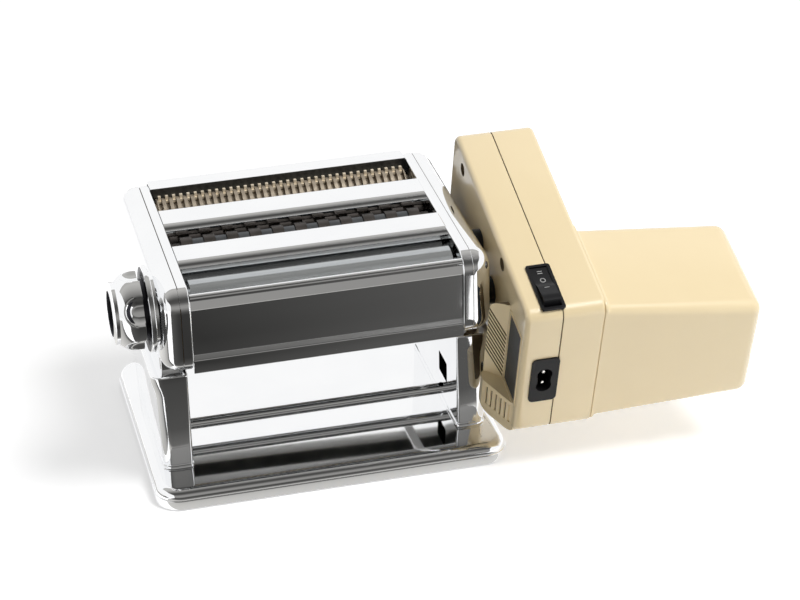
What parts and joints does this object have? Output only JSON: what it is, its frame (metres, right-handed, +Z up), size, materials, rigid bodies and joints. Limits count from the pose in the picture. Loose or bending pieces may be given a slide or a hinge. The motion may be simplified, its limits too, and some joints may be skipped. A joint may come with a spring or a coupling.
{
  "type": "electric pasta maker",
  "caption": "Chrome table-top pasta machine with smooth rollers, wide and narrow cutters, a thickness knob and a plastic motor unit plugged into its right cheek.",
  "frame": {"origin": "centre of the base's underside, on the table", "axes": "+X to the right, towards the motor unit; +Y to the back; +Z up"},
  "size_m": [0.3608, 0.1976, 0.1604],
  "materials": {
    "polished_chrome": "mirror polished",
    "plated_steel": "bright plated",
    "roller_steel": "ground satin",
    "gear_steel": "machined",
    "bush_brass": "turned",
    "comb_brass": "pressed, dull",
    "black_rubber": "matte",
    "cream_plastic": "moulded, satin gloss",
    "black_plastic": "moulded, low gloss",
    "slate_plate": "foil, matte",
    "pin_nickel": "bright",
    "zinc_plate": "zinc plated",
    "motor_steel": "rolled steel",
    "gear_nylon": "moulded"
  },
  "bodies": {
    "frame": {"base_tray": "polished_chrome", "base_mat": "black_rubber", "left_leg": "polished_chrome", "right_leg": "polished_chrome", "frame_screws": "plated_steel", "tie_rod": "polished_chrome", "tie_rod_nuts": "plated_steel", "left_side_frame": "polished_chrome", "right_side_frame": "polished_chrome", "left_cheek_cover": "polished_chrome", "right_cheek_cover": "polished_chrome", "front_panel": "polished_chrome", "rear_panel": "polished_chrome", "front_hood": "polished_chrome", "rear_hood": "polished_chrome", "frame_spacers": "plated_steel", "roller_scrapers": "plated_steel", "wide_combs": "comb_brass", "narrow_combs": "comb_brass", "roller_bushes": "bush_brass", "cutter_bushes": "bush_brass", "block_guides": "gear_steel", "regulator_bush": "bush_brass", "index_ring": "polished_chrome"},
    "carriage": {"left_bearing_block": "gear_steel", "right_bearing_block": "gear_steel", "carriage_bar": "plated_steel"},
    "front_roller": {"front_roller": "roller_steel", "front_roller_gear": "gear_steel"},
    "rear_roller": {"rear_roller": "roller_steel", "rear_roller_gear": "gear_steel"},
    "wide_front": {"wide_cutter_front": "roller_steel", "wide_gear_front": "gear_steel"},
    "wide_rear": {"wide_cutter_rear": "roller_steel", "wide_gear_rear": "gear_steel"},
    "narrow_front": {"narrow_cutter_front": "roller_steel", "narrow_gear_front": "gear_steel"},
    "narrow_rear": {"narrow_cutter_rear": "roller_steel", "narrow_gear_rear": "gear_steel"},
    "regulator": {"regulator_shaft": "plated_steel", "knob_spring": "plated_steel", "knob_screw": "plated_steel"},
    "knob": {"regulator_knob": "polished_chrome"},
    "motor_unit": {"inner_case": "cream_plastic", "outer_case": "cream_plastic", "rating_plate": "slate_plate", "inlet_body": "black_plastic", "inlet_pins": "pin_nickel", "switch_bezel": "black_plastic", "case_screws": "plated_steel", "locating_pin": "plated_steel", "gearbox_plate": "zinc_plate", "gear_axles": "plated_steel", "motor_can": "motor_steel"},
    "rocker": {"switch_rocker": "black_plastic"},
    "rotor": {"motor_rotor": "motor_steel", "cooling_fan": "gear_nylon"},
    "first_gear": {"first_gear": "gear_nylon"},
    "second_gear": {"second_gear": "gear_nylon"},
    "output_gear": {"output_gear": "plated_steel"}
  },
  "joints": [
    {"name": "carriage_slide", "type": "slide", "parent": "frame", "child": "carriage", "axis": [0, -1, 0], "range_m": [-0.00088, 0.00132]},
    {"name": "front_roller_spin", "type": "hinge", "parent": "carriage", "child": "front_roller", "pos_m": [0, -0.05208, 0.118], "axis": [1, 0, 0], "continuous": true},
    {"name": "rear_roller_spin", "type": "hinge", "parent": "frame", "child": "rear_roller", "pos_m": [0, -0.024, 0.118], "axis": [1, 0, 0], "continuous": true},
    {"name": "wide_front_spin", "type": "hinge", "parent": "frame", "child": "wide_front", "pos_m": [0, 0.0004, 0.122], "axis": [1, 0, 0], "continuous": true},
    {"name": "wide_rear_spin", "type": "hinge", "parent": "frame", "child": "wide_rear", "pos_m": [0, 0.0176, 0.122], "axis": [1, 0, 0], "continuous": true},
    {"name": "narrow_front_spin", "type": "hinge", "parent": "frame", "child": "narrow_front", "pos_m": [0, 0.0364, 0.122], "axis": [1, 0, 0], "continuous": true},
    {"name": "narrow_rear_spin", "type": "hinge", "parent": "frame", "child": "narrow_rear", "pos_m": [0, 0.0536, 0.122], "axis": [1, 0, 0], "continuous": true},
    {"name": "regulator_turn", "type": "hinge", "parent": "frame", "child": "regulator", "pos_m": [-0.095, -0.05208, 0.118], "axis": [-1, 0, 0], "range_deg": [-60, 90]},
    {"name": "knob_pull", "type": "slide", "parent": "regulator", "child": "knob", "axis": [-1, 0, 0], "range_m": [0, 0.003], "stiffness_N_per_m": 900, "springref_m": -0.002, "deforming": ["knob_spring"]},
    {"name": "motor_unit_pull", "type": "slide", "parent": "frame", "child": "motor_unit", "axis": [1, 0, 0], "range_m": [0, 0.02]},
    {"name": "switch_tilt", "type": "hinge", "parent": "motor_unit", "child": "rocker", "pos_m": [0.1173, -0.09873, 0.11987], "axis": [1, 0, 0], "range_deg": [0, 14]},
    {"name": "output_spin", "type": "hinge", "parent": "motor_unit", "child": "output_gear", "pos_m": [0.1223, -0.024, 0.118], "axis": [1, 0, 0], "continuous": true},
    {"name": "second_gear_spin", "type": "hinge", "parent": "motor_unit", "child": "second_gear", "pos_m": [0.1223, -0.02599, 0.08947], "axis": [1, 0, 0], "continuous": true},
    {"name": "first_gear_spin", "type": "hinge", "parent": "motor_unit", "child": "first_gear", "pos_m": [0.1223, -0.05065, 0.07707], "axis": [1, 0, 0], "continuous": true},
    {"name": "rotor_spin", "type": "hinge", "parent": "motor_unit", "child": "rotor", "pos_m": [0.1223, -0.07881, 0.07899], "axis": [1, 0, 0], "continuous": true}
  ],
  "couplings": [
    {"joint": "regulator_turn", "follows": "carriage_slide", "rad_per_m": 1190},
    {"joint": "front_roller_spin", "follows": "rear_roller_spin", "ratio": -1},
    {"joint": "wide_front_spin", "follows": "wide_rear_spin", "ratio": -1},
    {"joint": "narrow_front_spin", "follows": "narrow_rear_spin", "ratio": -1},
    {"joint": "output_spin", "follows": "rear_roller_spin", "ratio": 1},
    {"joint": "second_gear_spin", "follows": "rear_roller_spin", "ratio": -2.8},
    {"joint": "first_gear_spin", "follows": "rear_roller_spin", "ratio": 9.52},
    {"joint": "rotor_spin", "follows": "rear_roller_spin", "ratio": -38.08}
  ]
}
